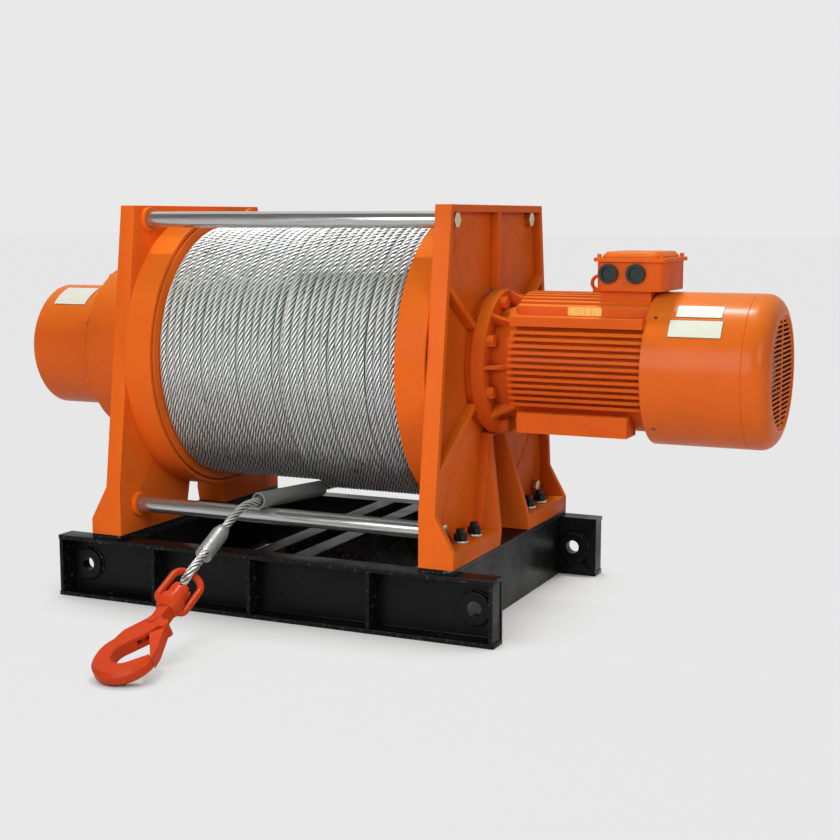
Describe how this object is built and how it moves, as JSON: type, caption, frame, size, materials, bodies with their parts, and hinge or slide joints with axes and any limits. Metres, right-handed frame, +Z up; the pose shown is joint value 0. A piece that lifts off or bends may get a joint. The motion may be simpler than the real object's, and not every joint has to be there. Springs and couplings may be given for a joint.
{
  "type": "electric winch",
  "caption": "Electric rope winch with a wound drum between plate frames, a gear unit, a brake motor, a channel base and a swivel hook.",
  "frame": {"origin": "middle of the four anchor holes, on the underside of the base", "axes": "+X along the drum axis from gear unit to motor, +Y to the rear, +Z up"},
  "size_m": [1.605, 1.1123, 0.795],
  "materials": {
    "orange_paint": "gloss enamel",
    "black_paint": "satin enamel",
    "chrome": "polished",
    "zinc": "zinc plated",
    "rope_steel": "galvanised",
    "bare_steel": "machined",
    "ferrule_metal": "pressed",
    "sleeve_black": "matt",
    "plug_black": "matt",
    "hook_red": "gloss enamel",
    "rotor_iron": "bare"
  },
  "bodies": {
    "winch_frame": {"base_channel_front": "black_paint", "base_channel_rear": "black_paint", "bearing_spigot": "bare_steel", "brake_magnet": "rotor_iron", "cable_plugs": "plug_black", "channel_end_plates": "black_paint", "channel_stiffeners": "black_paint", "cross_channel_left": "black_paint", "cross_channel_right": "black_paint", "fan_cover_barrel": "orange_paint", "fan_cover_dome": "orange_paint", "fan_grille": "orange_paint", "foot_bolts": "zinc", "foot_washers": "black_paint", "gear_bolts": "orange_paint", "gear_end_cap": "orange_paint", "gear_housing": "orange_paint", "guard_bands": "orange_paint", "lifting_eye": "orange_paint", "lifting_sleeves": "black_paint", "middle_beams": "black_paint", "motor_boss_ring": "orange_paint", "motor_flange_bolts": "orange_paint", "motor_flange_shield": "orange_paint", "motor_frame": "orange_paint", "motor_rear_shield": "orange_paint", "pad_plates": "black_paint", "rope_eye": "rope_steel", "rope_ferrule": "ferrule_metal", "rope_sleeve": "sleeve_black", "rope_tail": "rope_steel", "side_frame_left": "orange_paint", "side_frame_right": "orange_paint", "stator_core": "rotor_iron", "swivel_bow": "hook_red", "terminal_box": "orange_paint", "terminal_lid": "orange_paint", "terminal_screws": "bare_steel", "tie_bar_bolts": "zinc", "tie_bar_collars": "orange_paint", "tie_bars": "chrome"},
    "drum": {"drum_barrel": "orange_paint", "drum_flange_left": "orange_paint", "drum_flange_right": "orange_paint", "drum_hub_left": "orange_paint", "drum_hub_right": "orange_paint", "drum_bearing": "bare_steel", "rope_winding": "rope_steel", "gear_output_shaft": "bare_steel"},
    "rotor": {"rotor_core": "rotor_iron", "motor_shaft": "bare_steel", "drive_shaft": "bare_steel", "shaft_coupling": "bare_steel", "brake_disc": "rotor_iron", "cooling_fan": "ferrule_metal"},
    "hook": {"castle_nut": "hook_red", "hook_body": "hook_red", "hook_pins": "bare_steel"},
    "gate": {"hook_gate": "hook_red"},
    "trigger": {"hook_trigger": "hook_red"}
  },
  "joints": [
    {"name": "drum_spin", "type": "hinge", "parent": "winch_frame", "child": "drum", "pos_m": [0, 0, 0.489], "axis": [1, 0, 0], "continuous": true},
    {"name": "rotor_spin", "type": "hinge", "parent": "winch_frame", "child": "rotor", "pos_m": [0.5, 0, 0.489], "axis": [1, 0, 0], "continuous": true},
    {"name": "hook_swivel", "type": "hinge", "parent": "winch_frame", "child": "hook", "pos_m": [-0.02212, -0.60347, 0.09396], "axis": [0.0398, -0.9113, -0.4099], "continuous": true},
    {"name": "gate_hinge", "type": "hinge", "parent": "hook", "child": "gate", "pos_m": [0.00781, -0.65864, 0.07124], "axis": [-0.0693, -0.4118, 0.9086], "range_deg": [0, 45]},
    {"name": "trigger_hinge", "type": "hinge", "parent": "hook", "child": "trigger", "pos_m": [-0.04059, -0.68292, 0.05654], "axis": [-0.0693, -0.4118, 0.9086], "range_deg": [0, 12], "stiffness_Nm_per_rad": 0.2}
  ],
  "couplings": [
    {"joint": "rotor_spin", "follows": "drum_spin", "ratio": 76}
  ]
}
